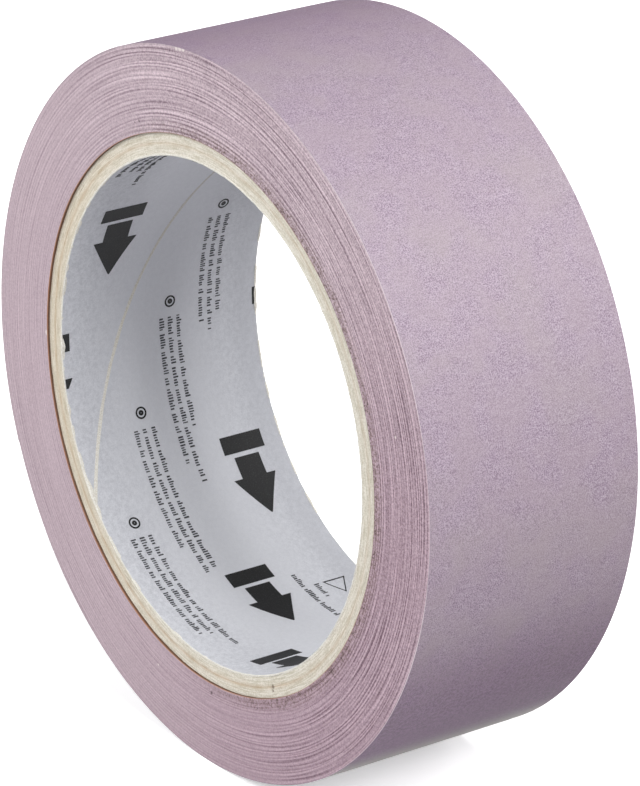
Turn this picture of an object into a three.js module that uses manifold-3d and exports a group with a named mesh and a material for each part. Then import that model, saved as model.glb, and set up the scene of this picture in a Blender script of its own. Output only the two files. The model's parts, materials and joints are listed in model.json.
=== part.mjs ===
// Masking tape roll: paper tape wound on a spirally wound cardboard core.
//
// Frame: millimetres, +Z up. The roll stands on its rim with its axis along Y, the front
// side face looks towards -Y, and the origin is the middle of the bore.
// Angles round the roll start at +X and grow towards +Z.
import * as THREE from "three";
import { mergeVertices } from "three/addons/utils/BufferGeometryUtils.js";
import Module from "manifold-3d";

const wasm = await Module();
wasm.setup();

// ---- Driving dimensions ----
const TAPE_WIDTH = 36;
const TAPE_OUTER_RADIUS = 54.45;
const TAPE_THICKNESS = 0.12;

const BORE_RADIUS = 38.1; // a standard 3 inch core
const LINER_THICKNESS = 0.2;
const PLY_THICKNESS = 0.75;
const PLY_COUNT = 4;
const GLUE_GAP = 0.05; // left open between one wound layer and the next
const CORE_RECESS = 0.4; // depth of each core end below the side face of the tape

const SEAM_LEAD = 98.4; // length along the core in which a seam goes once round
const SEAM_GAP = 0.4; // between the two edges of a spirally wound strip
const LINER_SEAM_ANGLE = 219; // degrees, where the liner's seam meets the front end
const SEAM_OFFSET = 145; // degrees from one layer's seam to that of the layer round it

const END_ROOT_ANGLE = 112.5; // degrees, where the lifted end of the tape leaves the roll
const END_LINKS = 9; // rigid lengths that stand for the flexible end
const LINK_ANGLE = 10; // degrees of the roll that each length covers
const LINK_CLEARANCE = 0.05; // at each cut edge, so 0.1 between neighbouring lengths

// ---- Facets ----
// Every round face has the same facets, so neighbouring layers stay parallel, and one
// facet lies flat at the bottom, where the roll stands.
const FACETS = 72;
const FACET_ANGLE = 360 / FACETS;
const FIRST_CORNER = FACET_ANGLE / 2;
const SEAM_FACETS = 32;

// ---- Values that follow ----
const CORE_WIDTH = TAPE_WIDTH - 2 * CORE_RECESS;
const LAYER_PITCH = PLY_THICKNESS + GLUE_GAP;
const FIRST_PLY_RADIUS = BORE_RADIUS + LINER_THICKNESS + GLUE_GAP;
const PACK_INNER_RADIUS = FIRST_PLY_RADIUS + PLY_COUNT * LAYER_PITCH;
const END_TIP_ANGLE = END_ROOT_ANGLE + END_LINKS * LINK_ANGLE;
const RADIUS_UNDER_END = TAPE_OUTER_RADIUS - TAPE_THICKNESS - GLUE_GAP;

// ---- Materials ----
function matte(color, roughness) {
  return new THREE.MeshStandardMaterial({ color, roughness, metalness: 0 });
}

const TAPE_LILAC = 0xbeadb7;
const BOARD_CREAM = 0xd8d2c0;
const LINER_GREY = 0xa3a2a8;

// ---- Shared shapes ----
function polarPoint(degrees, radius) {
  const angle = THREE.MathUtils.degToRad(degrees);
  return new THREE.Vector2(radius * Math.cos(angle), radius * Math.sin(angle));
}

// The corners of a faceted arc, with a radius that may change along it.
function arcPoints(startDegrees, facetCount, radiusAt) {
  const points = [];
  for (let i = 0; i <= facetCount; i += 1) {
    const degrees = startDegrees + i * FACET_ANGLE;
    points.push(polarPoint(degrees, radiusAt(degrees)));
  }
  return points;
}

function circlePoints(radius) {
  return arcPoints(FIRST_CORNER, FACETS - 1, () => radius);
}

// An outline in the XZ plane, drawn out along Y to a width centred on the origin.
function prism(outline, holeOutline, width) {
  const shape = new THREE.Shape(outline);
  if (holeOutline) {
    shape.holes.push(new THREE.Path(holeOutline));
  }
  const geometry = new THREE.ExtrudeGeometry(shape, { depth: width, bevelEnabled: false });
  geometry.translate(0, 0, -width / 2);
  geometry.rotateX(Math.PI / 2);
  return geometry;
}

// ---- Cutting ----
function solidFrom(geometry) {
  const bare = geometry.clone();
  bare.deleteAttribute("normal");
  bare.deleteAttribute("uv");
  const merged = mergeVertices(bare);
  return new wasm.Manifold(
    new wasm.Mesh({
      numProp: 3,
      vertProperties: merged.attributes.position.array,
      triVerts: new Uint32Array(merged.index.array),
    }),
  );
}

function geometryFrom(solid) {
  const mesh = solid.getMesh();
  const geometry = new THREE.BufferGeometry();
  geometry.setAttribute("position", new THREE.BufferAttribute(mesh.vertProperties, 3));
  geometry.setIndex(new THREE.BufferAttribute(mesh.triVerts, 1));
  return geometry;
}

// ---- Core ----
// A thin blade that climbs through a layer's wall along the helix of its seam.
function seamBlade(innerRadius, thickness, frontAngle) {
  const overrun = 1;
  const middleRadius = innerRadius + thickness / 2;
  const blade = new THREE.BoxGeometry(
    SEAM_GAP,
    CORE_WIDTH + 2 * overrun,
    thickness + 2 * overrun,
    1,
    SEAM_FACETS,
    1,
  );
  const position = blade.attributes.position;
  for (let i = 0; i < position.count; i += 1) {
    const along = position.getY(i);
    const climb = (360 * (along + CORE_WIDTH / 2)) / SEAM_LEAD;
    const acrossSeam = THREE.MathUtils.radToDeg(position.getX(i) / middleRadius);
    const point = polarPoint(frontAngle - climb - acrossSeam, middleRadius + position.getZ(i));
    position.setXYZ(i, point.x, along, point.y);
  }
  return blade;
}

// One layer of the core: a strip wound in a spiral, so a tube with one helical seam.
function woundLayer(name, innerRadius, thickness, seamAngle, color) {
  const tube = prism(
    circlePoints(innerRadius + thickness),
    circlePoints(innerRadius),
    CORE_WIDTH,
  );
  const blade = seamBlade(innerRadius, thickness, seamAngle);
  const cut = solidFrom(tube).subtract(solidFrom(blade));
  const layer = new THREE.Mesh(geometryFrom(cut), matte(color, 0.9));
  layer.name = name;
  return layer;
}

function core() {
  const layers = new THREE.Group();
  layers.add(
    woundLayer("core_liner", BORE_RADIUS, LINER_THICKNESS, LINER_SEAM_ANGLE, LINER_GREY),
  );
  for (let ply = 1; ply <= PLY_COUNT; ply += 1) {
    const innerRadius = FIRST_PLY_RADIUS + (ply - 1) * LAYER_PITCH;
    const seamAngle = LINER_SEAM_ANGLE + ply * SEAM_OFFSET;
    layers.add(
      woundLayer("core_ply_" + ply, innerRadius, PLY_THICKNESS, seamAngle, BOARD_CREAM),
    );
  }
  return layers;
}

// ---- Tape ----
// The wound turns. The last turn gains one tape thickness between the tip of the free end,
// which lies on it, and the root, where that end becomes the outer turn.
function tapePack() {
  const lastCorner = END_ROOT_ANGLE + 360;
  const lastTurn = lastCorner - END_TIP_ANGLE;
  const lastTurnRadius = (degrees) =>
    TAPE_OUTER_RADIUS - (TAPE_THICKNESS * (lastCorner - degrees)) / lastTurn;
  const outline = [
    ...arcPoints(END_TIP_ANGLE, lastTurn / FACET_ANGLE, lastTurnRadius),
    ...arcPoints(
      END_ROOT_ANGLE,
      (END_TIP_ANGLE - END_ROOT_ANGLE) / FACET_ANGLE,
      () => RADIUS_UNDER_END,
    ),
  ];
  const pack = new THREE.Mesh(
    prism(outline, circlePoints(PACK_INNER_RADIUS), TAPE_WIDTH),
    matte(TAPE_LILAC, 0.85),
  );
  pack.name = "tape_pack";
  return pack;
}

// One rigid length of the free end. It turns on the line where its outer face starts, so
// the cut edges only open as the tape is peeled back.
function tapeEndLink(number) {
  const start = END_ROOT_ANGLE + (number - 1) * LINK_ANGLE;
  const trim = THREE.MathUtils.radToDeg(LINK_CLEARANCE / TAPE_OUTER_RADIUS);
  const angles = [start + trim, start + LINK_ANGLE / 2, start + LINK_ANGLE - trim];
  const innerRadius = TAPE_OUTER_RADIUS - TAPE_THICKNESS;
  const outline = [
    ...angles.map((degrees) => polarPoint(degrees, TAPE_OUTER_RADIUS)),
    ...angles.reverse().map((degrees) => polarPoint(degrees, innerRadius)),
  ];
  const link = new THREE.Mesh(prism(outline, null, TAPE_WIDTH), matte(TAPE_LILAC, 0.85));
  link.name = "tape_end_" + number;
  return link;
}

// ---- Assembly ----
const roll = new THREE.Group();
roll.add(core());
roll.add(tapePack());
for (let number = 1; number <= END_LINKS; number += 1) {
  roll.add(tapeEndLink(number));
}

export default roll;
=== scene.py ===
"""Masking tape roll: the visual model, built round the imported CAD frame.

Everything is worked out in millimetres in the CAD part's frame, and turned into metres when a
mesh is made: +Z up, the roll's axis along Y, the front side face towards -Y, the origin in the
middle of the bore. Angles round the roll are in degrees, start at +X and grow towards +Z.
"""

import json
import math

import bpy
import numpy as np
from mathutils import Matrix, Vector

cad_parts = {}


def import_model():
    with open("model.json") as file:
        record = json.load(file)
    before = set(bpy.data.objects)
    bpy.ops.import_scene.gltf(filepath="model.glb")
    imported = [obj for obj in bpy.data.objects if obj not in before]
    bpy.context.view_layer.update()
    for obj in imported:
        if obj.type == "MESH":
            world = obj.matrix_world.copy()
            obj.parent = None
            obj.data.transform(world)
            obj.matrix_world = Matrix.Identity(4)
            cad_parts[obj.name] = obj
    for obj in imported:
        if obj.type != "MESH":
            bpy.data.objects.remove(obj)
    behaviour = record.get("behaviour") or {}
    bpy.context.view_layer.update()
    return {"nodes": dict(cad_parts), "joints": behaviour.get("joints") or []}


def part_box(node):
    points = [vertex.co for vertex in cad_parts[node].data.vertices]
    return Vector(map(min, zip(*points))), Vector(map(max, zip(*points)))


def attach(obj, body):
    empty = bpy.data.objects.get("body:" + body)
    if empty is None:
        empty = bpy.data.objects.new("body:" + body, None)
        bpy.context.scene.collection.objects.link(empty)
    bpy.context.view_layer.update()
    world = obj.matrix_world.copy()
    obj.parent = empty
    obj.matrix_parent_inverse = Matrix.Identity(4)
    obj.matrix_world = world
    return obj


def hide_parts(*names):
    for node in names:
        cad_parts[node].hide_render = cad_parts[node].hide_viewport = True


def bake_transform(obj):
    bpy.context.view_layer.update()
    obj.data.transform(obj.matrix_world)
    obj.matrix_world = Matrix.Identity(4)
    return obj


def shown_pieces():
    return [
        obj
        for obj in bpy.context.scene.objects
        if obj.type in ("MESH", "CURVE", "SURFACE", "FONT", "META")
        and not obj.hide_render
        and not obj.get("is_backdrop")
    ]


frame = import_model()

MM = 0.001  # metres

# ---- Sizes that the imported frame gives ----


def node_points(node):
    """The corners of a CAD node, in millimetres."""
    return np.array([corner.co for corner in frame["nodes"][node].data.vertices]) / MM


def wall_radii(node):
    """Inner and outer radius of a CAD node wound round the axis, from its facets' corners."""
    points = node_points(node)
    radius = np.hypot(points[:, 0], points[:, 2])
    middle = (radius.min() + radius.max()) / 2
    return np.median(radius[radius < middle]), radius.max()


def half_width(node):
    """Half of a CAD node's width along the axis."""
    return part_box(node)[1].y / MM


def hinge_angle(joint):
    """Where a hinge of the free end lies round the roll."""
    x, _, z = joint["pos_m"]
    return math.degrees(math.atan2(z, x)) % 360


TAPE_INNER, TAPE_OUTER = wall_radii("tape_pack")
TAPE_HALF_WIDTH = half_width("tape_pack")
CORE_HALF_WIDTH = half_width("core_liner")
BORE, LINER_OUTER = wall_radii("core_liner")
PLIES = sorted(node for node in frame["nodes"] if node.startswith("core_ply_"))
# The rigid lengths of the free end. Each is a body of its own, with the same name.
END_NODES = sorted(node for node in frame["nodes"] if node.startswith("tape_end_"))
HINGES = [hinge_angle(joint) for joint in frame["joints"]]
LINK_ANGLE = HINGES[1] - HINGES[0]
ROOT_ANGLE = HINGES[0]
TIP_ANGLE = HINGES[-1] + LINK_ANGLE

# ---- Sizes chosen here ----
TAPE_THICKNESS = 0.12
RADIUS_UNDER_END = TAPE_OUTER - TAPE_THICKNESS - 0.004  # clear of the free end that lies on it
TURNS = 107  # wound turns between the core and the outside
PACK_COLUMNS = 400  # points round the roll
PACK_ROWS = 15  # points across the tape's width
STEP_ANGLE = 0.02  # degrees between the two sides of a step in the radius
RIM_ROUNDING = 0.02

STRIP_STEP = 0.4  # degrees between the points along the free end
STRIP_ROWS = 25  # points across it
STRIP_MARGIN = 0.01  # by which it is narrower than the roll on each side
TEAR = 0.35  # degrees by which its tip is ragged
# How far two lengths of the free end overlap, on the adhesive side and on the backing: as
# much as a bend of the hinges would pull them apart when the tape is peeled.
LAPS = np.array([0.040, 0.012])

CORE_COLUMNS = 301  # points round each layer of the core
CORE_ROWS = 41  # points along it, close enough for its seam's twist
CORE_END_GAPS = (0.0, 0.12, 0.4)  # from each end to the points next to it
CORE_MIDDLE_GAP = 1.2  # from each end to the evenly spaced points
PLY_LAYERS = 7  # points through the thickness of a ply
LIP_COLUMNS = 900  # points round the torn fringe at each mouth of the bore

# The spirally wound core, as in the CAD part.
SEAM_LEAD = 98.4
LINER_SEAM_ANGLE = 219
SEAM_OFFSET = 145
PLY_PITCH = 0.8  # from one ply to the next
GLUE_GAP = 0.05  # between two plies
LINER_SLIT = 0.4
PLY_SLITS = (0.04, 0.04, 0.16, 0.04)  # only the third ply's seam stands open

ROUGH_CUT_ANGLE = 327  # where the cut side faces are roughest, and darkest by painted shade between their turns
CLEAR_TURNS_ANGLE = 30  # where the single turns show most clearly
LINE_PITCH = 0.55  # millimetres between the fine lines of the side faces

# Small marks on the front side faces of the tape and of the core: angle, radius and size.
DARK_SPECKS = (
    (111.0, 43.4, 0.28),
    (112.6, 43.35, 0.2),
    (272.0, 43.0, 0.35),
    (288.0, 43.0, 0.2),
)
PALE_SPECKS = (
    (254.0, 45.5, 0.25),
    (15.0, 48.0, 0.3),
    (180.0, 41.6, 0.55),
    (94.4, 54.3, 0.45),
    (95.3, 54.3, 0.55),
    (96.2, 54.2, 0.45),
)
CORE_SPECKS = ((294.6, 39.9, 0.45), (294.3, 40.5, 0.3))


# ---- Meshes ----
CREASE_ANGLE = 40  # degrees of bend that show as an edge


def polar(angle, radius, across):
    """Points at an angle in degrees, a radius and a place along the axis."""
    turn = np.radians(angle)
    turn, radius, across = np.broadcast_arrays(turn, radius, across)
    return np.stack([radius * np.cos(turn), across, radius * np.sin(turn)], -1)


def degrees_apart(angles, other):
    """How far angles are from another one, the shorter way round."""
    return np.abs((angles - other + 180) % 360 - 180)


def skin(lattice, closed_round=False):
    """The closed surface of a lattice of points whose axes run round, across and outwards.

    Returns the points, the faces and each point's place in the lattice, from 0 to 1. The
    faces point out of the lattice.
    """
    shape = lattice.shape[:3]
    number = np.arange(np.prod(shape)).reshape(shape)
    if closed_round:
        number = np.concatenate([number, number[:1]])
    outside, inside = number[:, :, -1], number[::-1, :, 0]
    front, back = number[::-1, 0, :].T, number[:, -1, :].T
    sides = [outside, inside, front, back]
    if not closed_round:
        sides += [number[0, :, :].T, number[-1, ::-1, :].T]
    faces = []
    for side in sides:
        corners = [side[:-1, :-1], side[:-1, 1:], side[1:, 1:], side[1:, :-1]]
        faces.append(np.stack(corners, -1).reshape(-1, 4))
    used, faces = np.unique(np.concatenate(faces), return_inverse=True)
    place = np.stack(np.unravel_index(used, shape), -1) / (np.array(shape) - 1)
    return lattice.reshape(-1, 3)[used], faces.reshape(-1, 4), place


def joined(skins):
    """Several skins as one."""
    points, faces, places = [], [], []
    total = 0
    for some_points, some_faces, some_places in skins:
        points.append(some_points)
        faces.append(some_faces + total)
        places.append(some_places)
        total += len(some_points)
    return np.concatenate(points), np.concatenate(faces), np.concatenate(places)


def new_piece(name, skin_parts, material):
    """A mesh object from a skin, smooth except at its creases.

    It keeps its rest position, and its place in the lattice, for the materials to read.
    """
    points, faces, place = skin_parts
    mesh = bpy.data.meshes.new(name)
    mesh.from_pydata((points * MM).tolist(), [], faces.tolist())
    mesh.validate()
    rest = mesh.attributes.new("rest", "FLOAT_VECTOR", "POINT")
    rest.data.foreach_set("vector", points.astype(np.float32).ravel())
    lattice_place = mesh.attributes.new("place", "FLOAT_VECTOR", "POINT")
    lattice_place.data.foreach_set("vector", place.astype(np.float32).ravel())
    mesh.polygons.foreach_set("use_smooth", np.ones(len(mesh.polygons), bool))
    mesh.set_sharp_from_angle(angle=math.radians(CREASE_ANGLE))
    mesh.materials.append(material)
    piece = bpy.data.objects.new(name, mesh)
    bpy.context.scene.collection.objects.link(piece)
    return piece


# ---- Random shapes, the same on every run ----


def waves(seed, count, angles, first, last):
    """Random periodic curves of the angle, one in each row, with a spread of about 1.

    Each adds up waves that go first to last times round the roll.
    """
    rng = np.random.default_rng(seed)
    orders = np.arange(first, last + 1)
    size = rng.normal(size=(count, orders.size))
    phase = rng.uniform(0, 2 * math.pi, size=(count, orders.size))
    turn = orders[:, None] * np.radians(angles)
    total = np.zeros((count, len(angles)))
    for wave in range(orders.size):
        total += size[:, wave, None] * np.cos(turn[wave] + phase[:, wave, None])
    return total / math.sqrt(orders.size / 2)


def cut_roughness(angles):
    """How rough the slit edges are round the roll, from 0.4 to 1."""
    return 0.7 + 0.3 * np.cos(np.radians(np.asarray(angles) - ROUGH_CUT_ANGLE))


# ---- Materials ----


def paint(red, green, blue):
    """A colour given as 0 to 255 on a screen, as the linear numbers that nodes use."""
    linear = []
    for part in (red, green, blue):
        share = part / 255
        if share <= 0.04045:
            linear.append(share / 12.92)
        else:
            linear.append(((share + 0.055) / 1.055) ** 2.4)
    return (*linear, 1)


class Shader:
    """Short names for the nodes that make up a procedural material."""

    def __init__(self, name):
        self.material = bpy.data.materials.new(name)
        self.material.use_nodes = True
        self.tree = self.material.node_tree
        self.surface = self.tree.nodes["Principled BSDF"]

    def node(self, kind, inputs=(), **settings):
        """A new node with its settings, and its inputs set or linked."""
        made = self.tree.nodes.new("ShaderNode" + kind)
        for key, value in settings.items():
            setattr(made, key, value)
        for slot, value in dict(inputs).items():
            self.set(made.inputs[slot], value)
        return made

    def set(self, socket, value):
        """Gives a socket a value, or a link if the value is another socket."""
        if isinstance(value, bpy.types.NodeSocket):
            self.tree.links.new(value, socket)
        else:
            socket.default_value = value

    def math(self, operation, *values):
        return self.node("Math", enumerate(values), operation=operation).outputs[0]

    def times(self, first, second):
        return self.math("MULTIPLY", first, second)

    def plus(self, first, second):
        return self.math("ADD", first, second)

    def attribute(self, name):
        return self.node("Attribute", attribute_name=name).outputs["Vector"]

    def split(self, vector):
        return self.node("SeparateXYZ", {0: vector}).outputs[:]

    def vector(self, x, y, z):
        return self.node("CombineXYZ", {0: x, 1: y, 2: z}).outputs[0]

    def noise(self, place, scale=1.0, detail=2.0, rough=0.5):
        inputs = {"Vector": place, "Scale": scale, "Detail": detail, "Roughness": rough}
        return self.node("TexNoise", inputs).outputs[0]

    def steps(self, value, low, high, to_low=0.0, to_high=1.0):
        """Smoothly from to_low to to_high as the value goes from low to high."""
        inputs = {0: value, 1: low, 2: high, 3: to_low, 4: to_high}
        made = self.node("MapRange", inputs, interpolation_type="SMOOTHSTEP")
        return made.outputs[0]

    def mix(self, amount, first, second):
        """From one colour to another; a Mix node has separate sockets for colours."""
        made = self.node("Mix", {0: amount, 6: first, 7: second}, data_type="RGBA")
        return made.outputs[2]

    def blend(self, amount, first, second):
        """From one number to another."""
        return self.node("Mix", {0: amount, 2: first, 3: second}).outputs[0]

    def band(self, value, middle, half_width):
        """1 in the middle of a band and 0 outside it."""
        away = self.math("ABSOLUTE", self.math("SUBTRACT", value, middle))
        return self.steps(away, 0.0, half_width, 1.0, 0.0)

    def spot(self, place, centre, size):
        """1 inside a small spot with a soft edge, 0 outside it."""
        away = self.node("VectorMath", {0: place, 1: centre}, operation="DISTANCE")
        return self.steps(away.outputs["Value"], size * 0.4, size, 1.0, 0.0)

    def finish(self, color, roughness, height=None, depth=0.05, specular=0.3):
        """Sets the surface; the height is a bump of up to depth millimetres."""
        self.set(self.surface.inputs["Base Color"], color)
        self.set(self.surface.inputs["Roughness"], roughness)
        self.surface.inputs["Specular IOR Level"].default_value = specular
        if height is not None:
            inputs = {"Strength": 1.0, "Distance": depth * MM, "Height": height}
            bump = self.node("Bump", inputs)
            self.set(self.surface.inputs["Normal"], bump.outputs[0])
        return self.material


class RollShader(Shader):
    """A material that knows where it is on the roll: mm, direction, radius and lattice."""

    def __init__(self, name):
        super().__init__(name)
        self.rest = self.attribute("rest")
        x, self.across, z = self.split(self.rest)
        squares = self.plus(self.times(x, x), self.times(z, z))
        self.radius = self.math("SQRT", squares)
        self.x_share = self.math("DIVIDE", x, self.radius)
        self.z_share = self.math("DIVIDE", z, self.radius)
        self.depth_place = self.split(self.attribute("place"))[2]

    def wound(self, round_scale, radius_scale):
        """A noise place with its own scale round the roll and outwards."""
        x = self.times(self.x_share, round_scale)
        z = self.times(self.z_share, round_scale)
        return self.vector(x, z, self.times(self.radius, radius_scale))

    def unrolled(self, round_scale, across_scale):
        """A noise place with its own scale round the roll and across the tape."""
        x = self.times(self.x_share, round_scale)
        z = self.times(self.z_share, round_scale)
        return self.vector(x, self.times(self.across, across_scale), z)

    def towards(self, angle):
        """1 on the side of the roll at that angle, -1 on the opposite side."""
        turn = math.radians(angle)
        x = self.times(self.x_share, math.cos(turn))
        z = self.times(self.z_share, math.sin(turn))
        return self.plus(x, z)

    def speckled(self, color, specks, half_width, amount, stain):
        """A colour with small stains on the front side face, which is half_width forward."""
        for angle, radius, size in specks:
            spot = self.spot(self.rest, polar(angle, radius, -half_width), size)
            color = self.mix(self.times(spot, amount), color, stain)
        return color


def edge_tone(shader):
    """Light and dark of the cut edges, as their colour and their bump: each turn is a hair line,
    and some stand out. In the colour the dark lines are painted shade and the light lines
    painted highlights.
    """
    turns = shader.noise(shader.wound(0.9, 3.2), detail=2.0, rough=0.6)
    wander = shader.times(shader.noise(shader.wound(1.2, 0.9), detail=2.0), 14.0)
    winding = shader.times(shader.radius, 2 * math.pi / LINE_PITCH)
    hairs = shader.math("SINE", shader.plus(winding, wander))
    strips = shader.noise(shader.wound(1.5, 0.8), detail=1.0)
    fading = shader.steps(shader.noise(shader.wound(3.5, 1.1), detail=1.0), 0.36, 0.58, 0.3, 1.0)
    grain = shader.noise(shader.rest, 3.8, detail=3.0, rough=0.8)
    # The sunk and raised turns and the hair lines darken and lighten the colour as painted shade
    # and painted highlights, and sink and raise the bump.
    sunk_turns = shader.steps(turns, 0.37, 0.44, 0.6, 0.0)
    raised_turns = shader.steps(turns, 0.56, 0.63, 0.0, 0.6)
    shadow = shader.plus(sunk_turns, shader.steps(hairs, -1.0, -0.3, 1.1, 0.0))
    glint = shader.plus(raised_turns, shader.steps(hairs, 0.3, 1.0, 0.0, 1.1))
    tone = shader.plus(0.26, shader.times(shader.steps(strips, 0.35, 0.65), 0.08))
    tone = shader.plus(tone, shader.times(shader.steps(grain, 0.36, 0.64), 0.46))
    lines = shader.plus(shader.times(shadow, -0.34), shader.times(glint, 0.25))
    tone = shader.plus(tone, shader.times(lines, fading))
    contrast = shader.steps(shader.towards(CLEAR_TURNS_ANGLE), -0.45, 0.75, 0.40, 1.15)
    return shader.math("MAXIMUM", shader.blend(contrast, 0.53, tone), 0.0)


def edge_color(shader, tone):
    """Lilac cut edges, brownish and speckled next to the core.

    Painted shade darkens them on the side where the cut is roughest, and a painted highlight
    runs along the rim.
    """
    # Painted shade: darker towards the side where the cut is roughest, for the shade between its
    # protruding turns.
    rough_side_shade = shader.steps(shader.towards(ROUGH_CUT_ANGLE), 0.0, 1.0)
    pale_edge = shader.mix(tone, paint(121, 99, 111), paint(227, 207, 215))
    shaded_edge = shader.mix(tone, paint(104, 76, 90), paint(214, 188, 200))
    edge = shader.mix(rough_side_shade, pale_edge, shaded_edge)

    near_core = shader.steps(shader.radius, TAPE_INNER + 0.5, TAPE_INNER + 2.8, 1.0, 0.0)
    crumbs = shader.noise(shader.rest, 2.8, detail=2.0, rough=0.75)
    pits = shader.steps(crumbs, 0.44, 0.58, 0.15, 1.0)
    brown_side = shader.steps(shader.towards(10), -0.45, 0.35)
    brown = shader.times(shader.times(near_core, pits), brown_side)
    edge = shader.mix(shader.times(brown, 0.66), edge, paint(112, 86, 76))
    black = shader.times(shader.times(near_core, shader.steps(crumbs, 0.60, 0.65)), brown_side)
    edge = shader.mix(shader.times(black, 0.8), edge, paint(58, 44, 44))

    edge = shader.speckled(edge, DARK_SPECKS, TAPE_HALF_WIDTH, 0.75, paint(70, 55, 58))
    edge = shader.speckled(edge, PALE_SPECKS, TAPE_HALF_WIDTH, 0.8, paint(232, 222, 218))
    # A painted highlight along the outer rim, strongest on the lit side of the roll.
    rim = shader.steps(shader.radius, TAPE_OUTER - 0.34, TAPE_OUTER - 0.18)
    rim = shader.times(rim, shader.steps(shader.towards(15), 0.3, 0.9, 0.15, 0.9))
    return shader.mix(rim, edge, paint(238, 224, 230))


def backing_weave(shader):
    """Relief of the tape's back: fine paper fibres and faint crepe across the tape."""
    fibres = shader.noise(shader.rest, 5.6, detail=2.0, rough=0.65)
    crepe = shader.noise(shader.unrolled(110, 0.55), detail=1.0)
    raised_fibres = shader.steps(fibres, 0.34, 0.66)
    return shader.plus(shader.times(raised_fibres, 0.75), shader.times(crepe, 0.25))


def backing_color(shader, weave):
    """Lilac with soft clouds, with painted shade low down and where it is seen at a flat angle,
    and a painted reflection of the floor on its underside.
    """
    clouds = shader.noise(shader.rest, 0.22, detail=3.0)
    warm = shader.noise(shader.rest, 0.10, detail=2.0)
    backing = shader.mix(weave, paint(115, 94, 114), paint(183, 169, 182))
    backing = shader.mix(shader.steps(clouds, 0.35, 0.65, 0.0, 0.42), backing, paint(160, 145, 153))
    backing = shader.mix(shader.steps(warm, 0.45, 0.7, 0.0, 0.25), backing, paint(159, 149, 148))

    # Painted shade: darker and more purple on the lower side of the roll.
    low_side = shader.steps(shader.towards(-55), 0.76, 0.98, 0.0, 0.66)
    coarse = shader.steps(shader.noise(shader.rest, 2.0, detail=3.0, rough=0.8), 0.35, 0.65)
    shaded = shader.mix(coarse, paint(72, 34, 72), paint(134, 98, 136))
    backing = shader.mix(low_side, backing, shaded)
    grazing = shader.node("LayerWeight", {"Blend": 0.5}).outputs["Facing"]
    # Painted shade: deeper purple where the surface is seen at a flat angle.
    backing = shader.mix(shader.steps(grazing, 0.45, 0.95, 0.0, 0.4), backing, paint(122, 92, 122))
    # A painted reflection of the white floor on the underside, at the flattest angles.
    underside = shader.steps(shader.towards(-75), 0.8, 0.95)
    floor_reflection = shader.times(underside, shader.steps(grazing, 0.79, 0.97))
    return shader.mix(shader.times(floor_reflection, 0.8), backing, paint(214, 214, 205))


def adhesive_color(shader):
    """Pinkish tan on the free end, and dark brown on the turn that is stuck to the core, darker
    deeper in the gap by painted shade.
    """
    streaks = shader.noise(shader.unrolled(60, 1.5), detail=3.0)
    # Adhesive colour, lighter at the front mouth of the gap and darker deeper in as painted shade.
    mouth = shader.steps(shader.across, -TAPE_HALF_WIDTH, -TAPE_HALF_WIDTH + 0.22, 1.0, 0.0)
    on_core = shader.mix(streaks, paint(84, 58, 44), paint(116, 80, 60))
    on_core = shader.mix(shader.times(mouth, 0.75), on_core, paint(196, 146, 118))
    on_end = shader.mix(streaks, paint(186, 168, 160), paint(204, 188, 180))
    off_core = shader.steps(shader.radius, TAPE_INNER + 0.3, TAPE_INNER + 0.6)
    return shader.mix(off_core, on_core, on_end)


def tape_material():
    """Lilac crepe paper: cut edges of the turns, the backing and the adhesive side."""
    shader = RollShader("tape_paper")
    tone = edge_tone(shader)
    weave = backing_weave(shader)
    on_backing = shader.steps(shader.depth_place, 0.993, 0.999)
    on_adhesive = shader.steps(shader.depth_place, 0.001, 0.007, 1.0, 0.0)
    color = shader.mix(on_backing, edge_color(shader, tone), backing_color(shader, weave))
    color = shader.mix(on_adhesive, color, adhesive_color(shader))
    height = shader.blend(on_backing, tone, weave)
    roughness = shader.blend(shader.plus(on_adhesive, on_backing), 0.7, 0.5)
    return shader.finish(color, roughness, height, depth=0.03, specular=0.5)


def glue_lines(shader):
    """Tan glue between the plies, which shows most at the middle one of its three lines."""
    first, middle, last = [LINER_OUTER + PLY_PITCH * ply + GLUE_GAP / 2 for ply in (1, 2, 3)]
    wide = shader.times(shader.band(shader.radius, middle, 0.8), 0.45)
    narrow = shader.times(shader.band(shader.radius, middle, 0.22), 0.35)
    faint = [shader.band(shader.radius, radius, 0.14) for radius in (first, last)]
    strong = shader.times(shader.plus(wide, narrow), 0.8)
    glue = shader.plus(strong, shader.times(shader.plus(*faint), 0.15))
    tan_side = shader.steps(shader.towards(215), -0.9, 0.7, 0.45, 1.0)
    patches = shader.steps(shader.noise(shader.rest, 0.5, detail=2.0), 0.3, 0.7, 0.6, 1.0)
    return shader.times(shader.times(glue, tan_side), patches)


def board_material():
    """Cream cardboard with layered fibres at its cut ends."""
    shader = RollShader("core_board")
    layers = shader.noise(shader.wound(14, 6.0), detail=3.0)
    fibres = shader.noise(shader.rest, 4.0, detail=4.0, rough=0.6)
    tone = shader.plus(shader.times(layers, 0.55), shader.times(fibres, 0.45))
    board = shader.mix(shader.steps(tone, 0.37, 0.63), paint(204, 198, 181), paint(242, 238, 228))
    board = shader.mix(glue_lines(shader), board, paint(186, 152, 112))
    tanned = shader.steps(shader.towards(180), 0.2, 1.0, 0.08, 0.34)
    board = shader.mix(tanned, board, paint(200, 182, 150))
    stains = shader.steps(shader.noise(shader.rest, 1.3, detail=3.0), 0.62, 0.75)
    board = shader.mix(shader.times(stains, 0.25), board, paint(176, 150, 120))
    board = shader.speckled(board, CORE_SPECKS, CORE_HALF_WIDTH, 0.7, paint(96, 78, 58))
    return shader.finish(board, 0.9, tone, depth=0.06, specular=0.2)


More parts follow.
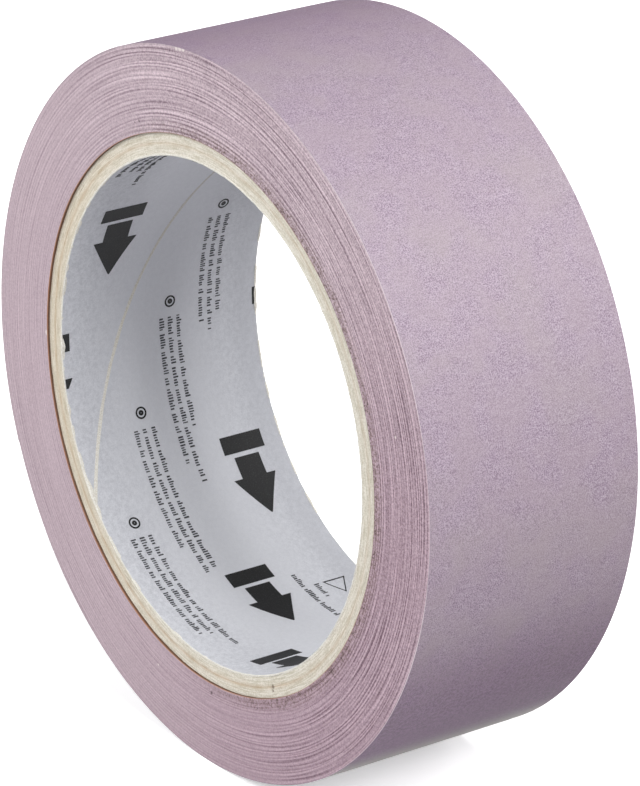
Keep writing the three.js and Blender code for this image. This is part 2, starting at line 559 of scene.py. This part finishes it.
def liner_material():
    """Grey printed paper with pale torn edges, made brightest half way along the bore by painted
    light and darker towards its back end by painted shade.
    """
    shader = RollShader("liner_paper")
    mottle = shader.noise(shader.rest, 1.4, detail=3.0, rough=0.6)
    fibres = shader.noise(shader.rest, 5.0, detail=3.0, rough=0.6)
    tone = shader.plus(shader.times(mottle, 0.5), shader.times(fibres, 0.5))
    grey = shader.mix(shader.steps(tone, 0.3, 0.7), paint(189, 190, 196), paint(216, 217, 222))
    end = shader.math("ABSOLUTE", shader.across)
    # Painted light: paler half way along the bore; painted shade: darker towards the back end.
    grey = shader.mix(shader.steps(end, 4.0, 15.0, 0.7, 0.0), grey, paint(232, 233, 238))
    grey = shader.mix(shader.steps(shader.across, 11.0, 16.0, 0.0, 0.5), grey, paint(176, 177, 183))
    torn = shader.steps(end, CORE_HALF_WIDTH - 0.12, CORE_HALF_WIDTH - 0.02)
    outside = shader.steps(shader.depth_place, 0.2, 0.6)
    pale = shader.math("MAXIMUM", torn, outside)
    color = shader.mix(pale, grey, paint(236, 234, 226))
    return shader.finish(color, 0.75, tone, depth=0.02)


def fibre_material(name, fade):
    """Torn white paper pulp, which may fade to grey towards the back of the bore."""
    shader = RollShader(name)
    pulp = shader.noise(shader.rest, 5.0, detail=4.0, rough=0.7)
    color = shader.mix(shader.steps(pulp, 0.3, 0.7), paint(214, 208, 194), paint(246, 244, 238))
    faded = shader.steps(shader.across, -8.0, 6.0, 0.0, fade)
    color = shader.mix(faded, color, paint(188, 186, 184))
    return shader.finish(color, 0.95, pulp, depth=0.08, specular=0.1)


def ink_material(name, black):
    """Black ink, slightly starved where the paper is rough."""
    shader = RollShader(name)
    fibres = shader.noise(shader.rest, 6.0, detail=3.0, rough=0.6)
    starved = tuple(share + 0.03 for share in black[:3]) + (1,)
    color = shader.mix(shader.steps(fibres, 0.5, 0.75), black, starved)
    return shader.finish(color, 0.55, fibres, depth=0.01)


def floor_material():
    """Plain white to the camera; it throws less light at the roll, and least on its right."""
    shader = Shader("floor_paper")
    place = shader.node("TexCoord").outputs["Object"]
    cloud = shader.noise(place, 3.0, detail=2.0)
    white = shader.mix(cloud, paint(249, 249, 250), paint(252, 252, 252))
    path = shader.node("LightPath")
    x, y, _ = shader.split(place)
    right = shader.times(shader.steps(x, 0.0, 0.08), shader.steps(y, -0.10, 0.0))
    thrown = shader.mix(right, paint(180, 180, 182), paint(44, 28, 43))
    color = shader.mix(path.outputs["Is Diffuse Ray"], white, thrown)
    away = shader.node("VectorMath", {0: place}, operation="LENGTH").outputs["Value"]
    glow = shader.steps(away, 0.15, 1.2, 0.45, 1.0)
    seen = shader.times(path.outputs["Is Camera Ray"], glow)
    shader.surface.inputs["Emission Color"].default_value = paint(255, 255, 255)
    shader.set(shader.surface.inputs["Emission Strength"], seen)
    return shader.finish(color, 0.8, specular=0.1)


TAPE_PAPER = tape_material()
CORE_BOARD = board_material()
LINER_PAPER = liner_material()
TORN_FIBRES = fibre_material("torn_fibres", 0.0)
SEAM_FIBRES = fibre_material("seam_fibres", 0.6)
SOLID_INK = ink_material("solid_ink", paint(34, 34, 35))
THIN_INK = ink_material("thin_ink", paint(66, 66, 69))


# ---- The wound turns of tape ----


def pack_radius(angles):
    """Outside of the wound turns: it gains a thickness between the end's tip and its root."""
    lap = (np.asarray(angles) - TIP_ANGLE) % 360
    full_lap = (ROOT_ANGLE - TIP_ANGLE) % 360
    grown = TAPE_OUTER - TAPE_THICKNESS * (full_lap - lap) / full_lap
    return np.where(lap <= full_lap, grown, RADIUS_UNDER_END)


def pack_angles():
    """Places round the wound turns, two of them at each step in the radius."""
    angles = np.linspace(0, 360, PACK_COLUMNS, endpoint=False) + TIP_ANGLE
    angles = np.delete(angles, np.argmin(degrees_apart(angles, ROOT_ANGLE)))
    steps = [TIP_ANGLE - STEP_ANGLE, ROOT_ANGLE, ROOT_ANGLE - STEP_ANGLE]
    return np.sort(np.concatenate([angles, steps]) % 360)


def cut_face(seed, angles, count):
    """How far each turn's edge stands back from the side face, by angle and turn."""
    rng = np.random.default_rng(seed)
    slow = waves(seed + 1, count, angles, 1, 5)
    quick = waves(seed + 2, count, angles, 6, 20)
    back = 0.012 * slow + 0.010 * quick
    # Some turns make a groove that opens and closes on its way round.
    grooves = rng.random(count) < 0.30
    depth = grooves * rng.uniform(0.03, 0.08, count)
    opening = np.clip(0.45 + 0.6 * waves(seed + 3, count, angles, 1, 9), 0, 1)
    back += depth[:, None] * opening
    # A few slips shift every turn that was wound after them.
    slips = rng.random(count) < 0.1
    step = np.cumsum(slips * rng.normal(0, 0.02, count))
    drift = step - np.linspace(0, step[-1], count)
    back += drift[:, None] * np.clip(1 + 0.5 * waves(seed + 4, 1, angles, 1, 3), 0, 2)
    back *= cut_roughness(angles)
    return np.clip(back, -0.05, 0.16).T


def sunk_outside(angles):
    """How far the outermost turn sinks in places, but not where the free end joins it."""
    uneven = waves(37, PACK_ROWS, angles, 3, 16).T
    uneven = (uneven + np.roll(uneven, 1, axis=1) + np.roll(uneven, -1, axis=1)) / 3
    under_end = ((angles - ROOT_ANGLE) % 360) <= (TIP_ANGLE - ROOT_ANGLE)
    free = np.clip((degrees_apart(angles, ROOT_ANGLE) - 3) / 12, 0, 1) * ~under_end
    return 0.012 * np.abs(uneven) * free[:, None]


def tape_pack():
    """All the wound turns as one body, with the edge of every turn on both side faces."""
    angles = pack_angles()
    share = np.linspace(0, 1, TURNS + 1)
    radius = TAPE_INNER + share[None, :] * (pack_radius(angles) - TAPE_INNER)[:, None]
    radius = np.repeat(radius[:, None, :], PACK_ROWS, axis=1)
    radius[:, :, -1] -= sunk_outside(angles)
    radius[:, [0, -1], -1] -= RIM_ROUNDING

    rows = np.linspace(-1, 1, PACK_ROWS) * TAPE_HALF_WIDTH
    across = np.broadcast_to(rows[None, :, None], radius.shape).copy()
    across[:, 0, :] += cut_face(11, angles, TURNS + 1)
    across[:, -1, :] -= cut_face(23, angles, TURNS + 1)

    lattice = polar(angles[:, None, None], radius, across)
    piece = new_piece("tape_turns", skin(lattice, closed_round=True), TAPE_PAPER)
    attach(piece, "roll")
    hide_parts("tape_pack")


# ---- The free end of the tape ----


def strip(name, start, end, lapped=(False, False), ragged_end=False):
    """A length of the free end as it lies on the roll, from one angle to another.

    It may overlap the lengths before and after it, or end in a ragged tip.
    """
    columns = max(3, round((end - start) / STRIP_STEP) + 1)
    angles = np.linspace(start, end, columns)[:, None, None]
    across = np.linspace(-1, 1, STRIP_ROWS)[None, :, None] * (TAPE_HALF_WIDTH - STRIP_MARGIN)
    depth = np.array([TAPE_THICKNESS, 0.0])[None, None, :]
    share = (angles - start) / (end - start)
    lap = np.degrees(LAPS / 2 / TAPE_OUTER)
    angles = angles + lap * (lapped[1] * share - lapped[0] * (1 - share))
    angles, across, depth = np.broadcast_arrays(angles, across, depth)
    if ragged_end:
        rng = np.random.default_rng(5)
        tear = np.convolve(rng.random(STRIP_ROWS + 2), [0.25, 0.5, 0.25], "valid") * TEAR
        angles = angles - share * tear[None, :, None]
    lattice = polar(angles, TAPE_OUTER - depth, across)
    return new_piece(name, skin(lattice), TAPE_PAPER)


def free_end():
    """The end of the tape, cut half way along each rigid CAD length.

    Each piece overlaps its neighbours where the bend of a hinge would reach past it: not at
    the fold where the end leaves the roll, and on one side only next to that fold and to the
    tip.
    """
    bodies = ["roll", *END_NODES]
    cuts = [ROOT_ANGLE] + [hinge + LINK_ANGLE / 2 for hinge in HINGES]
    wide = [(LINK_ANGLE, LINK_ANGLE)] * (len(HINGES) - 3)
    spreads = [(0, 0), (0, LINK_ANGLE / 2), *wide, (LINK_ANGLE / 2, 0)]
    for number, (start, end) in enumerate(zip(cuts[:-1], cuts[1:])):
        before, after = spreads[number]
        piece = strip(f"tape_free_{number + 1}", start, end, lapped=(before > 0, after > 0))
        first = Vector(polar(start - before, TAPE_OUTER, 0.0) * MM)
        last = Vector(polar(end + after, TAPE_OUTER, 0.0) * MM)
        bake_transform(piece)
        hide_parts(END_NODES[number])
    tip = strip("tape_free_tip", cuts[-1], TIP_ANGLE, ragged_end=True)
    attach(tip, bodies[-1])
    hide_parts(END_NODES[-1])


# ---- The spirally wound core ----
ENDS = ((0, 1), (-1, -1))  # row of points at each end of the core, and the way inwards from it
PLY_SPREAD = 0.022  # by which the cut has closed the gaps between the plies


def seam_angle(front_angle, across):
    """Where a seam is at a place along the core."""
    return front_angle - 360 * (across + CORE_HALF_WIDTH) / SEAM_LEAD


def wound_lattice(front_angle, slit, radii, rows):
    """A strip wound into a tube, whose two edges face each other across a helical slit."""
    half_slit = math.degrees(slit / 2 / radii[0])
    turn = np.linspace(half_slit, 360 - half_slit, CORE_COLUMNS)[:, None, None]
    across = rows[None, :, None]
    radius = np.asarray(radii, float)[None, None, :]
    turn, across, radius = np.broadcast_arrays(turn, across, radius)
    return seam_angle(front_angle, across) + turn, across.copy(), radius.copy()


def core_rows():
    """Places along the core, closer together next to its ends."""
    near = CORE_HALF_WIDTH - np.array(CORE_END_GAPS)
    reach = CORE_HALF_WIDTH - CORE_MIDDLE_GAP
    middle = np.linspace(-reach, reach, CORE_ROWS)
    return np.concatenate([-near, middle, near[::-1]])


def core_ply(number, node):
    """One ply of board: layered, slightly fluffy cut ends and rounded borders."""
    inner, outer = wall_radii(node)
    front_angle = LINER_SEAM_ANGLE + (number + 1) * SEAM_OFFSET
    layers = np.linspace(inner, outer, PLY_LAYERS)
    angle, across, radius = wound_lattice(front_angle, PLY_SLITS[number], layers, core_rows())
    radius[:, [0, -1], 0] -= PLY_SPREAD
    radius[:, [0, -1], -1] += PLY_SPREAD
    rounding = 0.012 * np.linspace(-1, 1, PLY_LAYERS) ** 4
    for row, inwards in ENDS:
        seed = 60 + 10 * number + (5 if inwards > 0 else 0)
        fluff = waves(seed, PLY_LAYERS, angle[:, row, 0], 4, 60).T
        across[:, row, :] += inwards * (0.03 + rounding + 0.014 * fluff)
    lattice = polar(angle, radius, across)
    piece = new_piece(f"board_ply_{number + 1}", skin(lattice), CORE_BOARD)
    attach(piece, "roll")
    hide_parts(node)


def core_liner():
    """The printed paper that lines the bore, with its slightly lifted edges at the seam."""
    angle, across, radius = wound_lattice(
        LINER_SEAM_ANGLE, LINER_SLIT, (BORE, LINER_OUTER), core_rows()
    )
    turn = np.linspace(0, 1, CORE_COLUMNS)[:, None]
    lift = 0.04 * (np.exp(-turn * 300) + np.exp(-(1 - turn) * 300))
    ripple = 0.010 * np.abs(waves(91, across.shape[1], angle[:, 0, 0], 5, 24).T)
    radius += (ripple - lift)[:, :, None]
    for row, inwards in ENDS:
        torn = waves(95 + inwards, 1, angle[:, row, 0], 10, 90)[0]
        across[:, row, :] += inwards * (0.05 * np.abs(torn)[:, None])
    lattice = polar(angle, radius, across)
    piece = new_piece("bore_liner", skin(lattice), LINER_PAPER)
    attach(piece, "roll")
    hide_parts("core_liner")


def board_at_seam():
    """A low ridge of torn paper along the liner's seam, narrower towards the back."""
    across = core_rows()[None, :, None] * 0.997
    rng = np.random.default_rng(17)
    width = np.linspace(1.7, 0.7, across.size) * rng.uniform(0.8, 1.15, across.size)
    side = np.array([-0.5, 0.0, 0.5])[:, None, None]
    turn = np.degrees(side * width[None, :, None] / BORE)
    height = np.array([0.05, 0.07, 0.05])[:, None, None]
    inner = np.broadcast_to(BORE - height, (3, across.size, 1))
    radius = np.concatenate([inner, np.full_like(inner, LINER_OUTER)], axis=2)
    lattice = polar(seam_angle(LINER_SEAM_ANGLE, across) + turn, radius, across)
    piece = new_piece("board_at_seam", skin(lattice), SEAM_FIBRES)
    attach(piece, "roll")


def torn_size(seed, side, angles):
    """How large the torn fringe is round the bore, with a burr at the front end's seam."""
    ragged = np.clip(0.45 + 0.4 * waves(seed, 1, angles, 8, 60)[0], 0, 1.5)
    ragged = np.clip(ragged + 0.10 * waves(seed + 3, 1, angles, 60, 160)[0], 0, 1.6)
    most = np.exp(-((degrees_apart(angles, 190) / 55) ** 2))
    burr = np.exp(-(((angles - LINER_SEAM_ANGLE + 2) / 2.2) ** 2))
    return ragged * (0.25 + 0.75 * most) + 1.4 * burr * (side < 0)


def torn_lip(name, side):
    """The fringe of torn pulp that the slitting knife left at one mouth of the bore."""
    angles = np.linspace(0, 360, LIP_COLUMNS, endpoint=False)
    seed = 131 if side > 0 else 130
    size = torn_size(seed, side, angles)

    # It stands out into the bore and past the core's end, each time by more where it is larger.
    arch = np.array([0.3, 1.0, 0.8, 0.1])
    inner = BORE + 0.09 - 0.22 * size
    outer = np.full(LIP_COLUMNS, LINER_OUTER + 0.12)
    radius = np.linspace(inner, outer, arch.size, axis=-1)
    radius = np.repeat(radius[:, None, :], 2, axis=1)

    height = 0.04 + 0.16 * size
    rough = 0.02 * waves(seed + 7, arch.size, angles, 20, 200).T
    top = CORE_HALF_WIDTH - 0.03 + height[:, None] * arch + rough
    low = np.full_like(top, CORE_HALF_WIDTH - 0.10)
    low[:, 0] -= 0.25 * size
    rows = [low, top] if side > 0 else [-top, -low]
    across = np.stack(rows, axis=1)

    lattice = polar(angles[:, None, None], radius, across)
    piece = new_piece(name, skin(lattice, closed_round=True), TORN_FIBRES)
    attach(piece, "roll")


# ---- The print on the liner ----
# Plain marks only: block arrows, rings, triangles and rows of small bars. They repeat on a
# lattice, as on any paper that is printed in repeats and then wound in a spiral.
INK_RADII = BORE + np.array([-0.05, 0.03])  # so that the ink is rooted in the paper
PRINT_LIMIT = CORE_HALF_WIDTH - 0.12
MARK_REACH = 3.4  # a mark whose middle is this far outside the strip still shows on it
DEGREE = math.radians(1) * BORE  # millimetres round the bore

FIRST_TURN = (-110, 250)  # degrees from the seam
REPEATS = range(-2, 2)
REPEAT_ANGLE = 131.3
FIRST_MARK = (254.7, 0.3)  # degrees round the bore and millimetres along it
MARK_STEP = (-32.9, 10.15)  # the same, from one arrow to the next
MARK_STEPS = range(-2, 3)
FIRST_TEXT = (225.5, -12.6)
TEXT_STEP = (-24.1, 7.2)
FIRST_SIGN = (256.9, 9.0)
EDGE_ROW = (107.0, -16.0, 23.0)  # a single row next to the front end, and its length

ROW_LENGTHS = ((31, 32, 39), (30, 38, 37), (35, 40, 26), (28, 30, 26))  # degrees
ROW_PITCH = 1.55
ROW_START = 3.1  # degrees from a block's ring to its rows

ARROW_LENGTH, ARROW_HEIGHT = 13.4, 7.4
ARROW_BAR_END = 2.8
ARROW_SHAFT = (3.5, 7.0)


def printable(angle, across):
    """False where a mark would be outside the strip or on its seam."""
    if abs(across) > CORE_HALF_WIDTH + MARK_REACH:
        return False
    turn = (angle - seam_angle(LINER_SEAM_ANGLE, across)) % 360
    return 0.8 < turn < 359.2


def in_first_turn(angle, across):
    """True when the place is on the strip's one turn round the bore."""
    turn = angle - seam_angle(LINER_SEAM_ANGLE, across)
    return FIRST_TURN[0] < turn < FIRST_TURN[1]


def ink(angles, low, high):
    """A flat patch of ink between two edges, each given for every angle."""
    low = np.clip(low, -PRINT_LIMIT, PRINT_LIMIT)
    high = np.clip(high, -PRINT_LIMIT, PRINT_LIMIT)
    kept = high - low > 0.05
    if kept.sum() < 2:
        return []
    angles, low, high = angles[kept], low[kept], high[kept]
    across = np.stack([low, high], axis=1)[:, :, None]
    return [skin(polar(angles[:, None, None], INK_RADII[None, None, :], across))]


def ink_trimmed(centre, angles, low, high):
    """Ink that ends at the liner's seam, on the side where its centre lies."""
    seam = (LINER_SEAM_ANGLE - angles) * SEAM_LEAD / 360 - CORE_HALF_WIDTH
    seam += SEAM_LEAD * np.round((centre[1] - seam) / SEAM_LEAD)
    if centre[1] > seam[len(seam) // 2]:
        low = np.maximum(low, seam + LINER_SLIT)
    else:
        high = np.minimum(high, seam - LINER_SLIT)
    return ink(angles, low, high)


def arrow(angle, across):
    """A block arrow along the direction of winding: a bar, and then a shaft with a head."""
    along = np.array([0.0, 1.4, 2.8, 3.5, 5.3, 7.0, 7.01, 8.5, 10.0, 11.5, 13.0, ARROW_LENGTH])
    shaft_start, head_start = ARROW_SHAFT
    half = np.full_like(along, ARROW_HEIGHT / 2)
    half[(along >= shaft_start) & (along <= head_start)] = ARROW_HEIGHT * 0.30
    head = along > head_start
    to_point = (ARROW_LENGTH - along[head]) / (ARROW_LENGTH - head_start)
    half[head] = ARROW_HEIGHT / 2 * to_point + 0.1
    angles = angle + (along - ARROW_LENGTH / 2) / DEGREE
    patches = []
    for part in (along <= ARROW_BAR_END, along >= shaft_start):
        low, high = across - half[part], across + half[part]
        patches += ink_trimmed((angle, across), angles[part], low, high)
    return patches


def loop(angle, across, outline, thickness):
    """A closed line of ink along an outline given in millimetres from its centre."""
    if np.abs(across + outline[:, 1]).max() > PRINT_LIMIT:
        return []
    inner = outline * (1 - thickness / np.abs(outline).max())
    flat = np.stack([outline, inner], axis=1)[:, :, None, :]
    lattice = polar(angle + flat[..., 0] / DEGREE, INK_RADII, across + flat[..., 1])
    return [skin(lattice, closed_round=True)]


def ring(angle, across):
    """Two circles of ink, one inside the other."""
    turn = np.linspace(0, 2 * math.pi, 24, endpoint=False)
    circle = np.stack([np.cos(turn), np.sin(turn)], -1)
    return loop(angle, across, 0.95 * circle, 0.26) + loop(angle, across, 0.42 * circle, 0.36)


def triangle(angle, across):
    """A triangle of ink that points along the direction of winding."""
    corners = 2.1 * np.array([[1.0, 0.0], [-0.7, 0.95], [-0.7, -0.95]])
    shares = np.linspace(0, 1, 6, endpoint=False)[:, None]
    sides = zip(corners, np.roll(corners, -1, axis=0))
    edges = [start + (end - start) * shares for start, end in sides]
    return loop(angle, across, np.concatenate(edges), 0.3)


def bars(rng, angle, across, length):
    """A row of small upright bars in groups, along the direction of winding."""
    patches = []
    place = 0.0
    left_in_group = 0
    while place < length * DEGREE:
        if left_in_group == 0:
            left_in_group = rng.integers(2, 10)
            place += 0.45
        width = rng.uniform(0.16, 0.26)
        low = across - rng.uniform(0.36, 0.44)
        high = across + rng.choice([0.14, 0.24, 0.46])
        where = angle + place / DEGREE
        if printable(where, across):
            ends = where + np.array([0.0, width]) / DEGREE
            patches += ink(ends, np.full(2, low), np.full(2, high))
        place += width + rng.uniform(0.15, 0.24)
        left_in_group -= 1
    return patches


def arrows(shift):
    """The arrows of one repeat."""
    marks = []
    for step in MARK_STEPS:
        angle = FIRST_MARK[0] + MARK_STEP[0] * step + shift
        across = FIRST_MARK[1] + MARK_STEP[1] * step
        if printable(angle, across) and in_first_turn(angle, across):
            marks += arrow(angle, across)
    return marks


def text_blocks(rng, shift):
    """The blocks of three rows in one repeat, and the ring in front of each."""
    marks, rows = [], []
    for step, lengths in enumerate(ROW_LENGTHS):
        angle = FIRST_TEXT[0] + TEXT_STEP[0] * step + shift
        across = FIRST_TEXT[1] + TEXT_STEP[1] * step
        if not in_first_turn(angle, across):
            continue
        marks += ring(angle, across)
        for row, length in enumerate(lengths):
            rows += bars(rng, angle + ROW_START, across + ROW_PITCH * (row - 1), length)
    return marks, rows


def sign(rng, shift):
    """The triangle of one repeat, with a long and a short row below it."""
    angle, across = FIRST_SIGN[0] + shift, FIRST_SIGN[1]
    if not in_first_turn(angle, across):
        return [], []
    long_row = bars(rng, angle - 7.6, across - 2.1, 18.5)
    short_row = bars(rng, angle - 2.9, across, 6)
    return triangle(angle, across + 3.2), long_row + short_row


def liner_print():
    """Every mark of the repeating print that falls on the strip."""
    rng = np.random.default_rng(77)
    marks, rows = [], []
    for repeat in REPEATS:
        shift = REPEAT_ANGLE * repeat
        marks += arrows(shift)
        for more_marks, more_rows in (text_blocks(rng, shift), sign(rng, shift)):
            marks += more_marks
            rows += more_rows
    rows += bars(rng, *EDGE_ROW)
    prints = (("marks", marks, SOLID_INK), ("rows", rows, THIN_INK))
    for name, patches, material in prints:
        piece = new_piece("liner_print_" + name, joined(patches), material)
        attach(piece, "roll")


tape_pack()
free_end()
core_liner()
for ply_number, ply_node in enumerate(PLIES):
    core_ply(ply_number, ply_node)
board_at_seam()
torn_lip("torn_lip_front", -1)
torn_lip("torn_lip_back", 1)
liner_print()


# ---- Studio, in metres ----
FLOOR_HALF_SIZE = 6.0
SKY_STRENGTH = 0.13

LIGHT_DISTANCE = 1.5
LIGHT_SIZE = 0.8
LIGHTS = (  # name, azimuth, elevation and power
    ("key", 92, 45, 20),
    ("low_side", 90, 25, 8),
    ("front", 0, 35, 9),
    ("front_left", -45, 30, 10),
    ("back", 180, 20, 9),
)

CAMERA_AZIMUTH, CAMERA_ELEVATION = 54.68, 21.76
CAMERA_DISTANCE = 0.70325
CAMERA_LENS, SENSOR_WIDTH = 221.7, 36  # millimetres
AIM_RIGHT, AIM_UP = 0.00209, -0.00036  # from the middle of the roll to where it looks


def direction(azimuth, elevation):
    """From the roll towards a viewer; azimuth 0 is in front of the face that looks to -Y."""
    turn, rise = math.radians(azimuth), math.radians(elevation)
    return Vector(
        (
            math.sin(turn) * math.cos(rise),
            -math.cos(turn) * math.cos(rise),
            math.sin(rise),
        )
    )


def look_back_along(thing, way):
    """Turns a light or a camera so that it looks against a direction."""
    thing.rotation_mode = "QUATERNION"
    thing.rotation_quaternion = way.to_track_quat("Z", "Y")


def floor():
    """A plain white floor that the roll stands on."""
    meshes = [piece.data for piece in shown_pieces() if piece.type == "MESH"]
    level = min(vertex.co.z for mesh in meshes for vertex in mesh.vertices)
    signs = ((-1, -1), (1, -1), (1, 1), (-1, 1))
    corners = [(x * FLOOR_HALF_SIZE, y * FLOOR_HALF_SIZE, level) for x, y in signs]
    mesh = bpy.data.meshes.new("floor")
    mesh.from_pydata(corners, [], [(0, 1, 2, 3)])
    mesh.materials.append(floor_material())
    plane = bpy.data.objects.new("floor", mesh)
    bpy.context.scene.collection.objects.link(plane)
    plane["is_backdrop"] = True


def soft_light(name, azimuth, elevation, power):
    """A square soft box that looks at the middle of the roll."""
    data = bpy.data.lights.new(name, "AREA")
    data.shape = "SQUARE"
    data.size = LIGHT_SIZE
    data.energy = power
    lamp = bpy.data.objects.new(name, data)
    lamp.location = direction(azimuth, elevation) * LIGHT_DISTANCE
    look_back_along(lamp, lamp.location)
    bpy.context.scene.collection.objects.link(lamp)


def camera():
    """The viewpoint, with the roll a little left of and above the middle of the picture."""
    data = bpy.data.cameras.new("camera")
    data.lens = CAMERA_LENS
    data.sensor_width = SENSOR_WIDTH
    data.clip_start, data.clip_end = 0.01, 50
    viewer = bpy.data.objects.new("camera", data)
    towards = direction(CAMERA_AZIMUTH, CAMERA_ELEVATION)
    right = Vector((0, 0, 1)).cross(towards).normalized()
    up = towards.cross(right)
    viewer.location = towards * CAMERA_DISTANCE
    look_back_along(viewer, viewer.location - (right * AIM_RIGHT + up * AIM_UP))
    bpy.context.scene.collection.objects.link(viewer)
    bpy.context.scene.camera = viewer


def world():
    """Soft light from all round, behind which the camera sees plain white."""
    sky = bpy.data.worlds.new("studio")
    sky.use_nodes = True
    tree = sky.node_tree
    background = tree.nodes["Background"]
    background.inputs["Color"].default_value = (1, 1, 1, 1)
    seen = tree.nodes.new("ShaderNodeMapRange")
    seen.inputs["To Min"].default_value = SKY_STRENGTH
    path = tree.nodes.new("ShaderNodeLightPath")
    tree.links.new(path.outputs["Is Camera Ray"], seen.inputs["Value"])
    tree.links.new(seen.outputs["Result"], background.inputs["Strength"])
    bpy.context.scene.world = sky


floor()
world()
for light in LIGHTS:
    soft_light(*light)
camera()
bpy.context.scene.view_settings.view_transform = "Standard"
